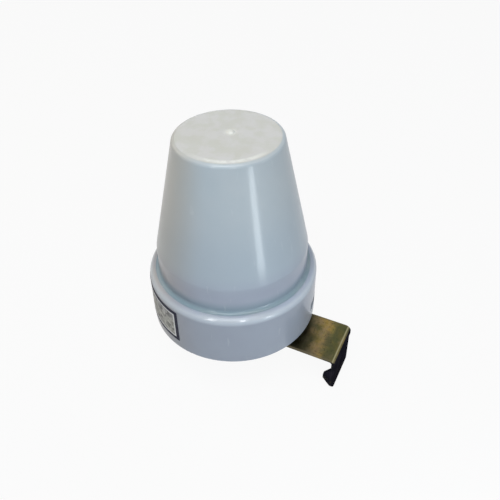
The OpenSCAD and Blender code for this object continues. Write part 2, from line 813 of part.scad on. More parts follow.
// A diode lying flat along Y
module flat_diode(d, l) {
    z = seat_gap + max(d / 2, leg_bend_r);
    translate([0, 0, z]) rotate([90, 0, 0]) cylinder(d = d, h = l, center = true);
    bent_legs(z);
}

// A resistor lying flat along Y, with the thicker ends of its lacquered caps
module flat_resistor() {
    z = seat_gap + resistor_d / 2;
    cap_l = resistor_l * cap_share;
    waist_r = resistor_d * waist_share;
    edge = resistor_d * cap_edge_share;
    end = resistor_l / 2;
    translate([0, 0, z]) rotate([90, 0, 0]) rotate_extrude() polygon([
        [0, -end], [resistor_d / 2 - edge, -end], [resistor_d / 2, -end + edge], [resistor_d / 2, -end + cap_l],
        [waist_r, -end + cap_l + edge], [waist_r, end - cap_l - edge], [resistor_d / 2, end - cap_l],
        [resistor_d / 2, end - edge], [resistor_d / 2 - edge, end], [0, end]
    ]);
    bent_legs(z);
}

module rectifier_diodes() {
    color("black") for (p = diode_at) translate([p.x, p.y, board_top]) flat_diode(diode_d, diode_l);
}

module zener_diode() {
    color("orangered") translate([zener_at.x, zener_at.y, board_top]) flat_diode(zener_d, zener_l);
}

module resistors() {
    color("tan") {
        for (p = resistor_at) translate([p.x, p.y, board_top]) flat_resistor();
        translate([drop_resistor_at.x, drop_resistor_at.y, board_top]) rotate([0, 0, 90]) flat_resistor();
    }
}

module transistors() {
    flat_y = transistor_d * transistor_flat_share;
    color("dimgray") for (p = transistor_at) translate([p.x, p.y, board_top]) {
        translate([0, 0, stand_off]) linear_extrude(transistor_h) difference() {
            circle(d = transistor_d);
            translate([-transistor_d, -transistor_d - flat_y]) square([2 * transistor_d, transistor_d]);
        }
        legs(transistor_legs, stand_off + leg_d);
    }
}

module varistor() {
    disc_z = stand_off + varistor_d / 2;
    color("steelblue") translate([varistor_at.x, varistor_at.y, board_top]) {
        translate([0, 0, disc_z]) rotate([90, 0, 0]) rotate_extrude() difference() {
            band(0, varistor_d / 2, -varistor_t / 2, varistor_t / 2);
            for (side = [0, 1]) mirror([0, side]) translate([varistor_d / 2, varistor_t / 2])
                corner_waste(varistor_t * varistor_edge_share);
        }
        legs(pair_of_legs(varistor_pitch), disc_z);
    }
}

module photoresistor() {
    color("sandybrown") translate([ldr_at.x, ldr_at.y, board_top]) {
        translate([0, 0, ldr_lift]) linear_extrude(ldr_t) intersection() {
            circle(d = ldr_d);
            square([ldr_d, ldr_flats], center = true);
        }
        legs(ldr_legs, ldr_lift + leg_d);
    }
}

module photoresistor_sleeves() {
    sleeve_bore = leg_d + 2 * leg_clear;
    color("black") for (p = legs_at([ldr_at], ldr_legs)) translate([p.x, p.y, board_top]) difference() {
        cylinder(d = sleeve_bore + 2 * sleeve_wall, h = sleeve_l);
        translate([0, 0, -over]) cylinder(d = sleeve_bore, h = sleeve_l + 2 * over);
    }
}

module solder_joints() {
    bore = leg_d + 2 * solder_clear;
    color("lightgray") for (p = all_legs) translate([p.x, p.y, board_z - solder_h]) difference() {
        cylinder(d1 = (bore + solder_d) / 2, d2 = solder_d, h = solder_h);
        translate([0, 0, -over]) cylinder(d = bore, h = solder_h + 2 * over);
    }
}

cover();
base_plate();
lead_grommet();
mounting_bracket();
bracket_screws();
bracket_washers();
bracket_nuts();
rating_label();
circuit_board();
board_screws();
relay();
dropper_capacitor();
smoothing_capacitor();
timing_capacitor();
rectifier_diodes();
zener_diode();
resistors();
transistors();
varistor();
photoresistor();
photoresistor_sleeves();
solder_joints();
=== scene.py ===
import json
import math
from types import SimpleNamespace

import bpy
from mathutils import Matrix, Vector


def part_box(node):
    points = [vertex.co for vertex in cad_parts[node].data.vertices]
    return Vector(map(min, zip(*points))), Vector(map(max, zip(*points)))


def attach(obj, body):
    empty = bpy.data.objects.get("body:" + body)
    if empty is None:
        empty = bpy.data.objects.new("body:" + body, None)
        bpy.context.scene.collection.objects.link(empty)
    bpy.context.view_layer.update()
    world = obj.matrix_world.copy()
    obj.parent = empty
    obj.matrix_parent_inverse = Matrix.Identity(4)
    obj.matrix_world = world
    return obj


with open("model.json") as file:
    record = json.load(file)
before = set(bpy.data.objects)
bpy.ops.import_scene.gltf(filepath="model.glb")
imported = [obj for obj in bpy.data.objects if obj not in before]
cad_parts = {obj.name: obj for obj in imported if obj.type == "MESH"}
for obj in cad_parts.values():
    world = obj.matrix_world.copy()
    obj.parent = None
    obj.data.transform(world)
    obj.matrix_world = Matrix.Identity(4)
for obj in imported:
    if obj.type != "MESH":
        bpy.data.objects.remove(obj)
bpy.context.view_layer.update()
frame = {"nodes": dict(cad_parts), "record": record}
cad = frame["nodes"]
scene = bpy.context.scene
scene.view_settings.view_transform = "Standard"

# Places on the cover and its label, in metres and radians
SKIRT_EDGE_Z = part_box("cover")[0].z
SEAM_Z = SKIRT_EDGE_Z + 0.0240
NECK_TOP_Z = SEAM_Z + 0.0115
CROWN_Z = SKIRT_EDGE_Z + 0.0833
CONE_DEEP_Z, CONE_PALE_Z = 0.044, 0.078
SKIRT_R = 0.035
SHOULDER_ROUND = 0.0026
LEDGE_R = 0.0321
CROWN_FLAT_R = 0.0190
GATE_PLACE = (-0.0003, 0.0024, CROWN_Z)
WARM_SHADE_SIDE = (-0.88, -0.474, 0.0)
HIGHLIGHT_SIDE = (0.50, -0.87, 0.0)
DARK_PATCH_START, DARK_PATCH_END = math.radians(13.0), math.radians(31.0)
DARK_PATCH_LOW_Z, DARK_PATCH_HIGH_Z = 0.0080, 0.0165
LABEL_LOW, LABEL_HIGH = (corner.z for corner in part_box("rating_label"))
LABEL_R = 0.0351
LABEL_START, LABEL_END = math.radians(-156.5), math.radians(-102.5)
LABEL_BORDER, LABEL_MARGIN = 0.0015, 0.0021

# Places on the bracket, the fasteners and the circuit board
STRIP_HALF_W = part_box("mounting_bracket")[1].y
STRIP_END_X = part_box("mounting_bracket")[1].x
FLANGE_FOOT_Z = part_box("mounting_bracket")[0].z
BEND_R = 0.0025
FLANGE_SHADE_FULL_Z, FLANGE_SHADE_END_Z = -0.0013, -0.0009
BRACKET_SCREW_X, BRACKET_SCREW_Y, BRACKET_THREAD_Z = 0.0135, 0.0055, 0.0002
BOARD_SCREW_R, BOARD_THREAD_Z = 0.022, 0.0090
LEAD_PITCH = 0.0032
RESISTOR_X, RESISTOR_Y, RESISTOR_AXIS_Z = 0.01445, 0.002, 0.01805
DROPPER_RESISTOR_Y = -0.02275
DIODE_X, DIODE_Y, DIODE_AXIS_Z = -0.0138, 0.0174, 0.01825
EJECTOR_PIN_R = 0.0225


# Node helpers

def add(tree, kind, inputs=None, **settings):
    """A node whose inputs are linked where a socket is given and set on the socket otherwise."""
    node = tree.nodes.new(kind)
    for name, value in settings.items():
        setattr(node, name, value)
    for name, value in (inputs or {}).items():
        if isinstance(value, bpy.types.NodeSocket):
            tree.links.new(value, node.inputs[name])
        else:
            node.inputs[name].default_value = value
    return node


def maths(tree, operation, *values):
    """The result of a Math node."""
    return add(tree, "ShaderNodeMath", dict(enumerate(values)), operation=operation).outputs[0]


def vector_maths(tree, operation, *vectors):
    """The outputs of a Vector Math node."""
    return add(tree, "ShaderNodeVectorMath", dict(enumerate(vectors)), operation=operation).outputs


def product(tree, *values):
    """All the values multiplied."""
    result = values[0]
    for value in values[1:]:
        result = maths(tree, "MULTIPLY", result, value)
    return result


def remap(tree, value, low, high, start=0.0, end=1.0):
    """The value eased from the range low to high into the range start to end."""
    inputs = {"Value": value, "From Min": low, "From Max": high, "To Min": start, "To Max": end}
    return add(tree, "ShaderNodeMapRange", inputs, interpolation_type="SMOOTHSTEP").outputs["Result"]


def rgba(colour):
    """A colour's three numbers with full cover; a socket stays as it is."""
    return colour if isinstance(colour, bpy.types.NodeSocket) else (*colour, 1.0)


def blend_colours(tree, factor, first, second, way="MIX"):
    """The first colour, turning into the second, or into their product, as the factor goes to 1."""
    inputs = {0: factor, 6: rgba(first), 7: rgba(second)}
    return add(tree, "ShaderNodeMix", inputs, data_type="RGBA", blend_type=way).outputs[2]


def laid_over(tree, under, mask, colour, share=1.0, way="MIX"):
    """A colour laid over another where the mask is 1, up to a share of the whole."""
    factor = mask if share == 1.0 else product(tree, mask, share)
    return blend_colours(tree, factor, under, colour, way)


def noise(tree, vector, scale, detail=2.0, roughness=0.5):
    """A noise field from 0 to 1."""
    inputs = {"Vector": vector, "Scale": scale, "Detail": detail, "Roughness": roughness}
    return add(tree, "ShaderNodeTexNoise", inputs).outputs["Fac"]


def stretched(tree, vector, scale):
    """The coordinates times a scale for each axis."""
    return add(tree, "ShaderNodeMapping", {"Vector": vector, "Scale": scale}).outputs["Vector"]


def object_coordinates(tree):
    """The coordinates on the piece, in metres."""
    return add(tree, "ShaderNodeTexCoord").outputs["Object"]


def axes(tree, vector):
    """The three parts of a vector."""
    return add(tree, "ShaderNodeSeparateXYZ", {"Vector": vector}).outputs


def bump(tree, height, distance):
    """A normal from a height field; the distance is how far the height stands out."""
    return add(tree, "ShaderNodeBump", {"Height": height, "Distance": distance}).outputs["Normal"]


def new_group(name, inputs, outputs):
    """An empty shader group with its named sockets; an input without a value takes a vector."""
    group = bpy.data.node_groups.new(name, "ShaderNodeTree")
    for label, value in inputs.items():
        kind = "NodeSocketVector" if value is None else "NodeSocketFloat"
        socket = group.interface.new_socket(name=label, in_out="INPUT", socket_type=kind)
        if value is not None:
            socket.default_value = value
    for label in outputs:
        group.interface.new_socket(name=label, in_out="OUTPUT", socket_type="NodeSocketFloat")
    return group, group.nodes.new("NodeGroupInput").outputs, group.nodes.new("NodeGroupOutput").inputs


def use(tree, group, inputs):
    """A group placed in a material with its own values."""
    return add(tree, "ShaderNodeGroup", inputs, node_tree=group).outputs


def new_material(name):
    """An empty node material and its tree."""
    material = bpy.data.materials.new(name)
    material.use_nodes = True
    material.node_tree.nodes.clear()
    return material, material.node_tree


def put_surface(tree, inputs):
    """The material's surface shader and its output."""
    shader = add(tree, "ShaderNodeBsdfPrincipled", inputs)
    add(tree, "ShaderNodeOutputMaterial", {"Surface": shader.outputs["BSDF"]})


# Effects that several finishes share

def make_moulded_skin():
    """Cloudy colour and fine orange peel of moulded plastic."""
    inputs = {"Vector": None, "Cloud Scale": 60.0, "Peel Scale": 900.0}
    group, given, result = new_group("moulded_skin", inputs, ["Cloud", "Peel"])
    cloud = noise(group, given["Vector"], given["Cloud Scale"], 3.0, 0.55)
    group.links.new(remap(group, cloud, 0.3, 0.7), result["Cloud"])
    group.links.new(noise(group, given["Vector"], given["Peel Scale"], 1.0, 0.4), result["Peel"])
    return group


def make_settled_dust():
    """Dust that lies in patches on what faces up."""
    group, given, result = new_group("settled_dust", {"Vector": None, "Patch Scale": 120.0}, ["Mask"])
    up = axes(group, add(group, "ShaderNodeNewGeometry").outputs["Normal"])["Z"]
    patch = remap(group, noise(group, given["Vector"], given["Patch Scale"], 3.0, 0.5), 0.36, 0.72)
    group.links.new(product(group, remap(group, up, 0.3, 1.0), patch), result["Mask"])
    return group


def make_rub_marks():
    """Thin scuffs, long in the direction in which the coordinates are stretched."""
    group, given, result = new_group("rub_marks", {"Vector": None, "Scale": 200.0, "Cut": 0.64}, ["Mask"])
    field = noise(group, given["Vector"], given["Scale"], 3.0, 0.6)
    top = maths(group, "ADD", given["Cut"], 0.06)
    group.links.new(remap(group, field, given["Cut"], top), result["Mask"])
    return group


def make_band():
    """1 where a value lies between two limits, with soft ends."""
    inputs = {"Value": 0.0, "Low": 0.0, "High": 1.0, "Soft": 0.1}
    group, given, result = new_group("band", inputs, ["Mask"])

    def step(limit, start, end):
        """A soft step of the value at one of the limits."""
        low = maths(group, "SUBTRACT", given[limit], given["Soft"])
        high = maths(group, "ADD", given[limit], given["Soft"])
        return remap(group, given["Value"], low, high, start, end)

    group.links.new(product(group, step("Low", 0.0, 1.0), step("High", 1.0, 0.0)), result["Mask"])
    return group


def make_plating():
    """Uneven tints and the fine grain of a plated sheet or fastener."""
    inputs = {"Vector": None, "Blotch Scale": 90.0, "Grain Scale": 1500.0}
    group, given, result = new_group("plating", inputs, ["First", "Second", "Grain"])
    first = noise(group, given["Vector"], given["Blotch Scale"], 4.0, 0.6)
    aside = vector_maths(group, "ADD", given["Vector"], (0.31, 0.17, 0.23))["Vector"]
    second = noise(group, aside, given["Blotch Scale"], 4.0, 0.6)
    group.links.new(remap(group, first, 0.35, 0.65), result["First"])
    group.links.new(remap(group, second, 0.38, 0.68), result["Second"])
    group.links.new(noise(group, given["Vector"], given["Grain Scale"], 2.0, 0.5), result["Grain"])
    return group


MOULDED_SKIN = make_moulded_skin()
SETTLED_DUST = make_settled_dust()
RUB_MARKS = make_rub_marks()
BAND = make_band()
PLATING = make_plating()


def between(tree, value, low, high, soft):
    """The band group's mask for a value."""
    return use(tree, BAND, {"Value": value, "Low": low, "High": high, "Soft": soft})["Mask"]


# The cover's finish

def cover_fields(tree):
    """Where a point of the cover lies: place, height, turn, distance from the axis and way outward."""
    place = object_coordinates(tree)
    at = axes(tree, place)
    level = add(tree, "ShaderNodeCombineXYZ", {"X": at["X"], "Y": at["Y"]}).outputs["Vector"]
    return SimpleNamespace(
        place=place,
        height=at["Z"],
        turn=maths(tree, "ARCTAN2", at["Y"], at["X"]),
        radius=vector_maths(tree, "LENGTH", level)["Value"],
        outward=vector_maths(tree, "NORMALIZE", level)["Vector"],
    )


def opal_plastic(tree, on, cloud):
    """The plastic's colour, with painted light and shade: palest high on the cone, darker on neck and skirt,
    and warmer and darker on one side.
    """
    pale = blend_colours(tree, cloud, (0.397, 0.463, 0.513), (0.430, 0.484, 0.525))
    # Painted light and shade: the cone runs from a darker tone low to a paler tone high.
    up_cone = remap(tree, on.height, CONE_DEEP_Z, CONE_PALE_Z)
    body = blend_colours(tree, up_cone, (0.354, 0.420, 0.485), pale)
    # Painted shade: neck and skirt darker than the cone, the skirt darkest.
    neck_skirt_shade = blend_colours(tree, cloud, (0.312, 0.352, 0.440), (0.340, 0.384, 0.470))
    below_cone = remap(tree, on.height, NECK_TOP_Z - 0.004, NECK_TOP_Z + 0.006, 1.0, 0.0)
    body = laid_over(tree, body, below_cone, neck_skirt_shade)
    on_skirt = remap(tree, on.height, SEAM_Z - 0.0036, SEAM_Z - 0.0022, 1.0, 0.0)
    body = laid_over(tree, body, on_skirt, (0.90, 0.90, 0.89), way="MULTIPLY")
    # Painted shade: a warm, darker tone on the side that faces this direction.
    toward_warm_shade = vector_maths(tree, "DOT_PRODUCT", on.outward, WARM_SHADE_SIDE)["Value"]
    warm_shade = remap(tree, toward_warm_shade, 0.35, 1.0)
    return laid_over(tree, body, warm_shade, (0.99, 0.85, 0.72), way="MULTIPLY")


def crown_rim(tree, on):
    """1 on the upper part of the round between crown and cone."""
    near_edge = remap(tree, on.radius, CROWN_FLAT_R - 0.0010, CROWN_FLAT_R - 0.0002)
    return product(tree, near_edge, between(tree, on.height, CROWN_Z - 0.0006, CROWN_Z - 0.0001, 0.0001))


def paint_crown_light(tree, on, body, rim):
    """A crown painted paler as light from above and mottled, with painted highlights on its rim and front
    edge and the gate's mark near its middle.
    """
    # Painted light: the crown's flat paler than the cone, mottled.
    on_crown = remap(tree, on.height, CROWN_Z - 0.0020, CROWN_Z - 0.0010)
    inside_edge = remap(tree, on.radius, CROWN_FLAT_R, CROWN_FLAT_R + 0.0009, 1.0, 0.0)
    mottle = remap(tree, noise(tree, on.place, 170.0, 4.0, 0.6), 0.38, 0.62)
    crown = blend_colours(tree, mottle, (0.575, 0.574, 0.535), (0.615, 0.608, 0.598))
    body = laid_over(tree, body, product(tree, on_crown, inside_edge), crown)
    # Painted highlight: a faint pale line round the crown's rim.
    body = laid_over(tree, body, rim, (0.740, 0.750, 0.740), 0.15)
    # Painted highlight: a pale, broken line on the crown's edge on the side that faces this direction.
    edge = between(tree, on.radius, CROWN_FLAT_R - 0.0018, CROWN_FLAT_R - 0.0002, 0.0006)
    toward_highlight = vector_maths(tree, "DOT_PRODUCT", on.outward, HIGHLIGHT_SIDE)["Value"]
    broken = remap(tree, noise(tree, on.place, 300.0, 3.0, 0.6), 0.38, 0.58, 0.45, 1.0)
    painted_edge_highlight = product(tree, on_crown, edge, remap(tree, toward_highlight, 0.60, 0.95), broken)
    body = laid_over(tree, body, painted_edge_highlight, (0.790, 0.795, 0.765))
    gate_gap = vector_maths(tree, "DISTANCE", on.place, GATE_PLACE)["Value"]
    gate_mark = remap(tree, gate_gap, 0.0010, 0.0034, 0.5, 0.0)
    return laid_over(tree, body, gate_mark, (0.800, 0.800, 0.760))


def paint_foot_shade(tree, on, body):
    """Painted shade in the cove above the seam and low on the neck, painted light on the shoulder and a dark
    patch beside the latch window.
    """
    # Painted shade: the cove, its ledge and the foot of the neck darkened towards the seam.
    above_seam = remap(tree, on.height, SEAM_Z, SEAM_Z + 0.0004)
    at_seam = remap(tree, on.height, SEAM_Z - 0.0006, SEAM_Z - 0.0002)
    ledge = product(tree, at_seam, remap(tree, on.radius, LEDGE_R, LEDGE_R + 0.0005, 1.0, 0.0))
    cove_zone = maths(tree, "MAXIMUM", above_seam, ledge)
    on_neck = remap(tree, on.height, SEAM_Z + 0.001, SEAM_Z + 0.006, 0.68, 0.0)
    in_cove = remap(tree, on.height, SEAM_Z + 0.0004, SEAM_Z + 0.0012, 0.30, 0.0)
    painted_cove_shade = product(tree, cove_zone, maths(tree, "ADD", on_neck, in_cove))
    body = laid_over(tree, body, painted_cove_shade, (0.190, 0.270, 0.320))
    # Painted light: a paler band on the shoulder's round.
    shoulder = between(tree, on.height, SEAM_Z - SHOULDER_ROUND, SEAM_Z - 0.0003, 0.0006)
    body = laid_over(tree, body, shoulder, (0.500, 0.560, 0.610), 0.5)
    # A dark, patchy mark beside the latch window.
    beside_window = between(tree, on.turn, DARK_PATCH_START, DARK_PATCH_END, 0.06)
    dark_patch = product(tree, beside_window, between(tree, on.height, DARK_PATCH_LOW_Z, DARK_PATCH_HIGH_Z, 0.002))
    patchy = remap(tree, noise(tree, on.place, 260.0, 3.0, 0.6), 0.30, 0.55, 0.4, 0.95)
    return laid_over(tree, body, product(tree, dark_patch, patchy), (0.070, 0.080, 0.115))


def opal_cover():
    """Opal plastic with painted light and highlights on the crown and shoulder, painted shade low down and
    on one side, scuffed, dusty and glossiest on its edges.
    """
    material, tree = new_material("opal_cover")
    on = cover_fields(tree)
    skin = use(tree, MOULDED_SKIN, {"Vector": on.place, "Cloud Scale": 34.0, "Peel Scale": 700.0})
    rim = crown_rim(tree, on)
    body = opal_plastic(tree, on, skin["Cloud"])
    body = paint_crown_light(tree, on, body, rim)
    body = paint_foot_shade(tree, on, body)
    upright = stretched(tree, on.place, (1.0, 1.0, 0.12))
    scuffs = use(tree, RUB_MARKS, {"Vector": upright, "Scale": 420.0, "Cut": 0.66})["Mask"]
    body = laid_over(tree, body, scuffs, (0.62, 0.66, 0.68), 0.12)
    dust = use(tree, SETTLED_DUST, {"Vector": on.place, "Patch Scale": 70.0})["Mask"]
    body = laid_over(tree, body, dust, (0.50, 0.47, 0.40), 0.16)
    cloudy = remap(tree, skin["Cloud"], 0.0, 1.0, 0.28, 0.34)
    shoulder_gloss = between(tree, on.height, SEAM_Z - 0.0013, SEAM_Z - 0.0006, 0.00015)
    gloss = maths(tree, "MAXIMUM", shoulder_gloss, product(tree, rim, 0.1))
    put_surface(tree, {
        "Base Color": body, "Roughness": maths(tree, "ADD", cloudy, product(tree, dust, 0.12)),
        "IOR": 1.47, "Specular IOR Level": 0.25,
        "Subsurface Weight": 0.15, "Subsurface Radius": (1.0, 1.1, 1.2), "Subsurface Scale": 0.0015,
        "Coat Weight": remap(tree, gloss, 0.0, 1.0, 0.2, 1.0), "Coat Roughness": 0.12, "Coat IOR": 1.8,
        "Normal": bump(tree, skin["Peel"], 0.00001),
    })
    return material


# Finishes of the bracket, the fasteners and the label

def strip_plating(tree, place, at, tints, rolled):
    """Gold plating with pink and olive tints, a painted shadow of the skirt, specks, and a painted highlight
    along the bend.
    """
    metal = blend_colours(tree, tints["First"], (0.290, 0.200, 0.052), (0.135, 0.125, 0.042))
    metal = laid_over(tree, metal, tints["Second"], (0.200, 0.145, 0.105), 0.6)
    metal = laid_over(tree, metal, remap(tree, rolled, 0.4, 0.7, 0.0, 0.2), (0.300, 0.260, 0.130))
    drift = product(tree, maths(tree, "SUBTRACT", tints["Second"], 0.5), 0.003)
    along = maths(tree, "ADD", at["X"], drift)
    olive = between(tree, along, STRIP_END_X - 0.0068, STRIP_END_X - 0.0010, 0.0022)
    metal = laid_over(tree, metal, olive, (0.052, 0.062, 0.026), 0.75)
    # Painted shadow: the strip darkened next to the skirt, slanted to follow its outline.
    slanted = maths(tree, "ADD", along, product(tree, at["Y"], 0.15))
    painted_skirt_shadow = remap(tree, slanted, SKIRT_R - 0.0005, SKIRT_R + 0.0075, 0.85, 0.0)
    metal = laid_over(tree, metal, painted_skirt_shadow, (0.036, 0.037, 0.023))
    specks = use(tree, RUB_MARKS, {"Vector": place, "Scale": 950.0, "Cut": 0.58})["Mask"]
    metal = laid_over(tree, metal, specks, (0.045, 0.042, 0.022), 0.55)
    aside = maths(tree, "ABSOLUTE", at["Y"])
    edge = remap(tree, aside, STRIP_HALF_W - 0.0009, STRIP_HALF_W - 0.0002)
    metal = laid_over(tree, metal, edge, (0.130, 0.110, 0.070), 0.5)
    # Painted highlight: a pale line along the start of the bend.
    painted_bend_highlight = between(tree, at["X"], STRIP_END_X - 0.0014, STRIP_END_X - 0.0009, 0.0002)
    return laid_over(tree, metal, painted_bend_highlight, (0.360, 0.330, 0.200), 0.8)


def flange_painted_shade(tree, place, tints):
    """Painted shade: near black, with a few paler scuffs across it."""
    black_shade = blend_colours(tree, tints["First"], (0.007, 0.007, 0.013), (0.015, 0.013, 0.021))
    across = stretched(tree, place, (1.0, 0.3, 1.0))
    paler_marks = use(tree, RUB_MARKS, {"Vector": across, "Scale": 520.0, "Cut": 0.60})["Mask"]
    return laid_over(tree, black_shade, paler_marks, (0.060, 0.052, 0.030), 0.3)


def passivated_steel():
    """Yellow-passivated zinc on rolled sheet, with its flange painted near black as shade."""
    material, tree = new_material("passivated_steel")
    place = object_coordinates(tree)
    at = axes(tree, place)
    tints = use(tree, PLATING, {"Vector": place, "Blotch Scale": 180.0, "Grain Scale": 2600.0})
    rolled = noise(tree, stretched(tree, place, (1.0, 0.03, 1.0)), 2200.0, 2.0, 0.5)
    past_bend = remap(tree, at["X"], STRIP_END_X - 2.2 * BEND_R, STRIP_END_X - 2.0 * BEND_R)
    flange = product(tree, past_bend, remap(tree, at["Z"], FLANGE_SHADE_FULL_Z, FLANGE_SHADE_END_Z, 1.0, 0.0))
    metal = strip_plating(tree, place, at, tints, rolled)
    # Painted shade: the flange past the bend turned near black and not metallic.
    metal = laid_over(tree, metal, flange, flange_painted_shade(tree, place, tints), 0.98)
    uneven = remap(tree, tints["First"], 0.0, 1.0, 0.30, 0.42)
    grain = maths(tree, "ADD", tints["Grain"], rolled)
    put_surface(tree, {
        "Base Color": metal, "Metallic": maths(tree, "SUBTRACT", 1.0, flange),
        "Roughness": maths(tree, "ADD", uneven, product(tree, flange, 0.15)),
        "Specular IOR Level": 0.0, "Normal": bump(tree, grain, 0.000012),
    })
    return material


def bright_zinc():
    """Bright zinc on screws, washers and nuts, clouded and a little scratched."""
    material, tree = new_material("bright_zinc")
    place = object_coordinates(tree)
    tints = use(tree, PLATING, {"Vector": place, "Blotch Scale": 420.0, "Grain Scale": 3200.0})
    metal = blend_colours(tree, tints["First"], (0.60, 0.61, 0.63), (0.48, 0.49, 0.50))
    put_surface(tree, {
        "Base Color": laid_over(tree, metal, tints["Second"], (0.56, 0.53, 0.44), 0.4), "Metallic": 1.0,
        "Roughness": remap(tree, tints["First"], 0.0, 1.0, 0.24, 0.40),
        "Normal": bump(tree, tints["Grain"], 0.00001),
    })
    return material


def label_film():
    """Printed film: a dark blue border, a pale margin and plain fields of grey with dirt rubbed in."""
    material, tree = new_material("label_film")
    place = object_coordinates(tree)
    at = axes(tree, place)
    turn = maths(tree, "ARCTAN2", at["Y"], at["X"])
    along = product(tree, maths(tree, "SUBTRACT", turn, LABEL_START), LABEL_R)
    length = (LABEL_END - LABEL_START) * LABEL_R
    up = maths(tree, "SUBTRACT", at["Z"], LABEL_LOW)
    height = LABEL_HIGH - LABEL_LOW

    def inside(margin, soft):
        """1 on the label further than the margin from its edges."""
        across = between(tree, along, margin, length - margin, soft)
        return product(tree, across, between(tree, up, margin, height - margin, soft))

    skin = use(tree, MOULDED_SKIN, {"Vector": place, "Cloud Scale": 420.0, "Peel Scale": 2500.0})
    field = blend_colours(tree, skin["Cloud"], (0.240, 0.238, 0.215), (0.600, 0.588, 0.545))
    head = between(tree, up, 0.68 * height, height, 0.0003)
    field = laid_over(tree, field, head, (0.300, 0.300, 0.330), 0.35)
    stain = remap(tree, noise(tree, place, 430.0, 2.0, 0.5), 0.44, 0.70, 0.0, 0.85)
    field = laid_over(tree, field, stain, (0.075, 0.072, 0.072))
    film = laid_over(tree, (0.74, 0.74, 0.74), inside(LABEL_MARGIN, 0.0002), field)
    film = laid_over(tree, (0.008, 0.009, 0.026), inside(LABEL_BORDER, 0.0001), film)
    put_surface(tree, {
        "Base Color": film, "Roughness": remap(tree, skin["Cloud"], 0.0, 1.0, 0.42, 0.55),
        "Specular IOR Level": 0.12, "Normal": bump(tree, skin["Peel"], 0.00001),
    })
    return material


# Finishes of the mouldings and of the parts on the circuit board

def moulded(name, light, dark, rough, cloud_scale, peel_scale, peel_height, dust_share=0.04):
    """A moulded plastic, epoxy or rubber between two colours, with peel and dust of its own scale."""
    material, tree = new_material(name)
    place = object_coordinates(tree)
    scales = {"Vector": place, "Cloud Scale": cloud_scale, "Peel Scale": peel_scale}
    skin = use(tree, MOULDED_SKIN, scales)
    colour = blend_colours(tree, skin["Cloud"], light, dark)
    dust = use(tree, SETTLED_DUST, {"Vector": place, "Patch Scale": cloud_scale * 2.5})["Mask"]
    cloudy = remap(tree, skin["Cloud"], 0.0, 1.0, rough[0], rough[1])
    put_surface(tree, {
        "Base Color": laid_over(tree, colour, dust, (0.42, 0.40, 0.36), dust_share),
        "Roughness": maths(tree, "ADD", cloudy, product(tree, dust, 0.2)),
        "Normal": bump(tree, skin["Peel"], peel_height),
    })
    return material


# Light and dark colour, roughness, scales of cloud and peel, height of the peel, share of dust
MOULDINGS = {
    "base_moulding": ((0.44, 0.48, 0.51), (0.38, 0.42, 0.46), (0.45, 0.55), 70.0, 1800.0, 0.00004, 0.2),
    "grommet_rubber": ((0.032, 0.032, 0.033), (0.02, 0.02, 0.021), (0.6, 0.75), 300.0, 2600.0, 0.00004, 0.2),
    "board_laminate": ((0.46, 0.28, 0.11), (0.36, 0.21, 0.08), (0.5, 0.6), 150.0, 2400.0, 0.00002),
    "relay_case": ((0.020, 0.090, 0.42), (0.014, 0.070, 0.34), (0.3, 0.4), 120.0, 2200.0, 0.00002),
    "capacitor_box": ((0.68, 0.44, 0.05), (0.60, 0.37, 0.04), (0.4, 0.5), 140.0, 2000.0, 0.00003),
    "can_sleeve": ((0.014, 0.014, 0.034), (0.008, 0.008, 0.022), (0.25, 0.35), 260.0, 2000.0, 0.00001),
    "black_epoxy": ((0.028, 0.028, 0.028), (0.016, 0.016, 0.016), (0.45, 0.6), 500.0, 4000.0, 0.00002),
    "diode_glass": ((0.52, 0.13, 0.03), (0.40, 0.08, 0.02), (0.08, 0.16), 600.0, 3000.0, 0.00001),
    "resistor_lacquer": ((0.54, 0.38, 0.21), (0.44, 0.30, 0.16), (0.3, 0.4), 500.0, 3500.0, 0.00001),
    "varistor_coating": ((0.03, 0.16, 0.42), (0.02, 0.11, 0.32), (0.3, 0.4), 260.0, 2500.0, 0.00003),
    "photoresistor_face": ((0.62, 0.30, 0.14), (0.50, 0.24, 0.11), (0.1, 0.2), 700.0, 3500.0, 0.00001),
    "solder": ((0.60, 0.60, 0.61), (0.48, 0.48, 0.49), (0.25, 0.35), 900.0, 5000.0, 0.00001),
}
FINISHES = {
    "opal_cover": opal_cover(),
    "passivated_steel": passivated_steel(),
    "bright_zinc": bright_zinc(),
    "label_film": label_film(),
}
for finish_name, looks in MOULDINGS.items():
    FINISHES[finish_name] = moulded(finish_name, *looks)

for piece in frame["record"]["subparts"]:
    shape = cad[piece["node"]]
    shape.data.materials.clear()
    shape.data.materials.append(FINISHES[piece["material_slot"]])


# Threads, colour bands and ejector marks, grown by rules on points

def new_rule(name, sizes):
    """An empty geometry tree that takes points, named sizes and a finish."""
    tree = bpy.data.node_groups.new(name, "GeometryNodeTree")
    tree.is_modifier = True
    kinds = [("Points", "NodeSocketGeometry"), *sizes, ("Finish", "NodeSocketMaterial")]
    for label, kind in kinds:
        tree.interface.new_socket(name=label, in_out="INPUT", socket_type=kind)
    tree.interface.new_socket(name="Shape", in_out="OUTPUT", socket_type="NodeSocketGeometry")
    return tree, tree.nodes.new("NodeGroupInput").outputs


def close_rule(tree, given, copy, rotation=None):
    """Puts a copy of a shape on each point, makes it real and gives it its finish."""
    inputs = {"Points": given["Points"], "Instance": copy}
    if rotation is not None:
        inputs["Rotation"] = rotation
    copies = add(tree, "GeometryNodeInstanceOnPoints", inputs).outputs["Instances"]
    real = add(tree, "GeometryNodeRealizeInstances", {"Geometry": copies}).outputs["Geometry"]
    finished = add(tree, "GeometryNodeSetMaterial", {"Geometry": real, "Material": given["Finish"]})
    add(tree, "NodeGroupOutput", {"Shape": finished.outputs["Geometry"]})


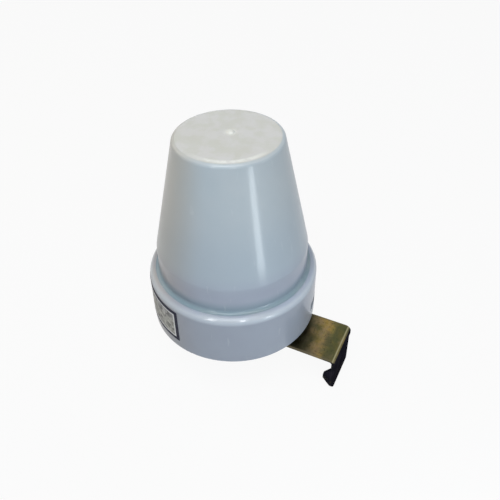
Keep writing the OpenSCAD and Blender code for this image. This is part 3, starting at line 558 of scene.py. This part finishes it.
def make_thread_rule():
    """A thread: a ridge wound up a screw's shank from each point."""
    sizes = [(label, "NodeSocketFloat") for label in ("Radius", "Pitch", "Length", "Ridge")]
    tree, given = new_rule("thread_rule", sizes)
    helix = add(tree, "GeometryNodeCurveSpiral", {
        "Resolution": 24, "Rotations": maths(tree, "DIVIDE", given["Length"], given["Pitch"]),
        "Start Radius": given["Radius"], "End Radius": given["Radius"], "Height": given["Length"],
    })
    ridge = add(tree, "GeometryNodeCurvePrimitiveCircle", {"Resolution": 6, "Radius": given["Ridge"]})
    wound = add(tree, "GeometryNodeCurveToMesh", {
        "Curve": helix.outputs[0], "Profile Curve": ridge.outputs[0], "Fill Caps": True,
    })
    close_rule(tree, given, wound.outputs["Mesh"])
    return tree


def make_ring_rule():
    """A flat ring round each point, on an axis of its own."""
    sizes = [(label, "NodeSocketFloat") for label in ("Radius", "Width", "Height")]
    tree, given = new_rule("ring_rule", [*sizes, ("Turn", "NodeSocketVector")])
    path = add(tree, "GeometryNodeCurvePrimitiveCircle", {"Resolution": 40, "Radius": given["Radius"]})
    section = add(tree, "GeometryNodeCurvePrimitiveQuadrilateral", {
        "Width": given["Height"], "Height": given["Width"],
    })
    round_path = {"Curve": path.outputs[0], "Profile Curve": section.outputs[0]}
    ring = add(tree, "GeometryNodeCurveToMesh", round_path)
    rotation = add(tree, "FunctionNodeEulerToRotation", {"Euler": given["Turn"]}).outputs[0]
    close_rule(tree, given, ring.outputs["Mesh"], rotation)
    return tree


def grow(name, rule, points, sizes, finish):
    """A plain mesh that a rule grows on points, riding on the part."""
    mesh = bpy.data.meshes.new(name)
    mesh.from_pydata(points, [], [])
    shape = bpy.data.objects.new(name, mesh)
    scene.collection.objects.link(shape)
    modifier = shape.modifiers.new("rule", "NODES")
    modifier.node_group = rule
    inputs = [item for item in rule.interface.items_tree if item.in_out == "INPUT"]
    sockets = {item.name: item.identifier for item in inputs}
    for label, value in {**sizes, "Finish": finish}.items():
        modifier[sockets[label]] = value
    shown = shape.evaluated_get(bpy.context.evaluated_depsgraph_get())
    grown = bpy.data.meshes.new_from_object(shown)
    shape.modifiers.remove(modifier)
    shape.data = grown
    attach(shape, "root")


THREAD = make_thread_rule()
RING = make_ring_rule()
ALONG_X = (0.0, math.pi / 2, 0.0)
ALONG_Y = (math.pi / 2, 0.0, 0.0)
UPRIGHT = (0.0, 0.0, 0.0)


def ring_of_points(radius, count, first_turn, z):
    """Points at equal steps round the axis."""
    turns = [first_turn + 2 * math.pi * i / count for i in range(count)]
    return [(radius * math.cos(turn), radius * math.sin(turn), z) for turn in turns]


def cut_threads():
    """Threads on the bracket's two screws and on the board's three screws."""
    zinc = FINISHES["bright_zinc"]
    sizes = {"Radius": 0.00198, "Pitch": 0.0007, "Length": 0.0070, "Ridge": 0.00012}
    points = [(BRACKET_SCREW_X, y, BRACKET_THREAD_Z) for y in (-BRACKET_SCREW_Y, BRACKET_SCREW_Y)]
    grow("bracket_screw_threads", THREAD, points, sizes, zinc)
    sizes = {"Radius": 0.00108, "Pitch": 0.0009, "Length": 0.0058, "Ridge": 0.00012}
    points = ring_of_points(BOARD_SCREW_R, 3, math.pi / 2, BOARD_THREAD_Z)
    grow("board_screw_threads", THREAD, points, sizes, zinc)


def band_lacquer(colour, light, dark, rough):
    """The lacquer of a colour band."""
    return moulded("band_" + colour, light, dark, rough, 900.0, 4000.0, 0.00001)


def paint_bands():
    """Colour bands on the resistors and the bands that mark the diodes' cathodes."""
    waist = {"Radius": 0.00098, "Width": 0.0005, "Height": 0.00005}
    resistors = [RESISTOR_X + LEAD_PITCH * i for i in range(3)]
    bands = (
        ("brown", -0.0014, (0.085, 0.030, 0.012), (0.060, 0.020, 0.008)),
        ("black", -0.0006, (0.020, 0.020, 0.020), (0.012, 0.012, 0.012)),
        ("red", 0.0002, (0.400, 0.025, 0.018), (0.300, 0.018, 0.012)),
        ("gold", 0.0013, (0.430, 0.270, 0.060), (0.340, 0.210, 0.045)),
    )
    for colour, shift, light, dark in bands:
        finish = band_lacquer(colour, light, dark, (0.3, 0.4))
        sizes = {**waist, "Turn": ALONG_Y}
        points = [(x, RESISTOR_Y + shift, RESISTOR_AXIS_Z) for x in resistors]
        grow("resistor_bands_" + colour, RING, points, sizes, finish)
        sizes = {**waist, "Turn": ALONG_X}
        points = [(shift, DROPPER_RESISTOR_Y, RESISTOR_AXIS_Z)]
        grow("dropper_band_" + colour, RING, points, sizes, finish)
    finish = band_lacquer("silver", (0.50, 0.50, 0.50), (0.40, 0.40, 0.40), (0.35, 0.45))
    sizes = {"Radius": 0.00135, "Width": 0.0008, "Height": 0.00005, "Turn": ALONG_Y}
    points = [(DIODE_X + LEAD_PITCH * i, DIODE_Y, DIODE_AXIS_Z) for i in range(4)]
    grow("diode_bands", RING, points, sizes, finish)


def press_ejector_marks():
    """Round marks that the mould's ejector pins leave under the base plate."""
    sizes = {"Radius": 0.0020, "Width": 0.0002, "Height": 0.0003, "Turn": UPRIGHT}
    points = ring_of_points(EJECTOR_PIN_R, 4, math.radians(45.0), 0.0)
    grow("base_ejector_marks", RING, points, sizes, FINISHES["base_moulding"])


cut_threads()
paint_bands()
press_ejector_marks()


# Camera at the photo's place

def place_camera():
    """The camera, turned by its own small roll."""
    azimuth, elevation, roll = math.radians(28.3), math.radians(38.5), math.radians(-2.22)
    place = (0.08584, -0.15942, 0.19015)
    flat = math.cos(elevation)
    back = Vector((math.sin(azimuth) * flat, -math.cos(azimuth) * flat, math.sin(elevation)))
    level = Vector((math.cos(azimuth), math.sin(azimuth), 0.0))
    upright = back.cross(level)
    right = math.cos(roll) * level + math.sin(roll) * upright
    up = back.cross(right)
    lens = bpy.data.cameras.new("photo_camera")
    lens.sensor_width = 36.0
    lens.lens = 41.45
    lens.shift_x = 0.0366
    lens.shift_y = -0.0478
    lens.clip_start = 0.005
    camera = bpy.data.objects.new("photo_camera", lens)
    scene.collection.objects.link(camera)
    turn = Matrix((right, up, back)).transposed().to_4x4()
    camera.matrix_world = Matrix.Translation(place) @ turn
    scene.camera = camera


place_camera()


# Studio: pale floor, white surround and soft lights

def seen_directly(tree):
    """1 for rays from the camera and for reflections and refractions, 0 for diffuse light."""
    path = add(tree, "ShaderNodeLightPath").outputs
    seen = maths(tree, "MAXIMUM", path["Is Camera Ray"], path["Is Glossy Ray"])
    return maths(tree, "MAXIMUM", seen, path["Is Transmission Ray"])


def pale_floor():
    """White where it is seen, with a faint shadow; clear from below."""
    material, tree = new_material("pale_floor")
    pale = add(tree, "ShaderNodeBsdfDiffuse", {"Color": (0.50, 0.50, 0.50, 1.0)})
    white = add(tree, "ShaderNodeEmission", {"Color": (1.0, 1.0, 1.0, 1.0), "Strength": 1.0})
    share = product(tree, seen_directly(tree), 0.93)
    top = add(tree, "ShaderNodeMixShader", {0: share, 1: pale.outputs[0], 2: white.outputs[0]})
    clear = add(tree, "ShaderNodeBsdfTransparent")
    from_below = add(tree, "ShaderNodeNewGeometry").outputs["Backfacing"]
    surface = add(tree, "ShaderNodeMixShader", {0: from_below, 1: top.outputs[0], 2: clear.outputs[0]})
    add(tree, "ShaderNodeOutputMaterial", {"Surface": surface.outputs[0]})
    return material


def make_floor():
    """A plain square floor just under the flange's foot."""
    half, level = 1.5, FLANGE_FOOT_Z - 0.0002
    mesh = bpy.data.meshes.new("floor")
    corners = [(-half, -half, level), (half, -half, level), (half, half, level), (-half, half, level)]
    mesh.from_pydata(corners, [], [(0, 1, 2, 3)])
    floor = bpy.data.objects.new("floor", mesh)
    scene.collection.objects.link(floor)
    mesh.materials.append(pale_floor())


def make_surround():
    """White where it is seen, a soft cool light everywhere else."""
    world = bpy.data.worlds.new("surround")
    world.use_nodes = True
    tree = world.node_tree
    tree.nodes.clear()
    white = add(tree, "ShaderNodeBackground", {"Color": (0.95, 0.95, 0.95, 1.0), "Strength": 1.0})
    soft = add(tree, "ShaderNodeBackground", {"Color": (0.88, 0.95, 1.0, 1.0), "Strength": 0.27})
    shown = {0: seen_directly(tree), 1: soft.outputs[0], 2: white.outputs[0]}
    mixed = add(tree, "ShaderNodeMixShader", shown)
    add(tree, "ShaderNodeOutputWorld", {"Surface": mixed.outputs[0]})
    scene.world = world


COVER_MIDDLE = Vector((0.0, 0.0, 0.045))


def softbox(name, place, size, level, colour):
    """A soft light that the camera doesn't see; its level is what it gives a white surface facing it."""
    light = bpy.data.lights.new(name, "AREA")
    light.shape = "RECTANGLE"
    light.size, light.size_y = size
    ray = COVER_MIDDLE - Vector(place)
    light.energy = level * math.pi ** 2 * ray.length_squared
    light.color = colour
    lamp = bpy.data.objects.new(name, light)
    scene.collection.objects.link(lamp)
    lamp.location = place
    lamp.rotation_euler = ray.to_track_quat("-Z", "Y").to_euler()
    lamp.visible_camera = False


def from_side(azimuth, elevation, distance):
    """A place round the cover, with azimuth 0 in front and 90 on the bracket's side."""
    turn, rise = math.radians(azimuth), math.radians(elevation)
    flat = distance * math.cos(rise)
    way = Vector((flat * math.sin(turn), -flat * math.cos(turn), distance * math.sin(rise)))
    return COVER_MIDDLE + way


make_floor()
make_surround()
softbox("key", from_side(18.0, 68.0, 0.75), (0.5, 0.5), 0.71, (0.96, 0.99, 1.0))
softbox("warm_left", from_side(-95.0, 32.0, 0.70), (0.4, 0.4), 0.12, (1.0, 0.75, 0.45))
softbox("side_strip", (0.157, -0.075, 0.027), (0.030, 0.068), 0.19, (0.88, 0.96, 1.0))
softbox("left_glint", (-0.014, -0.40, 0.28), (0.06, 0.20), 0.10, (1.0, 1.0, 1.0))
softbox("right_glint", (0.24, -0.32, 0.28), (0.045, 0.20), 0.08, (1.0, 1.0, 1.0))
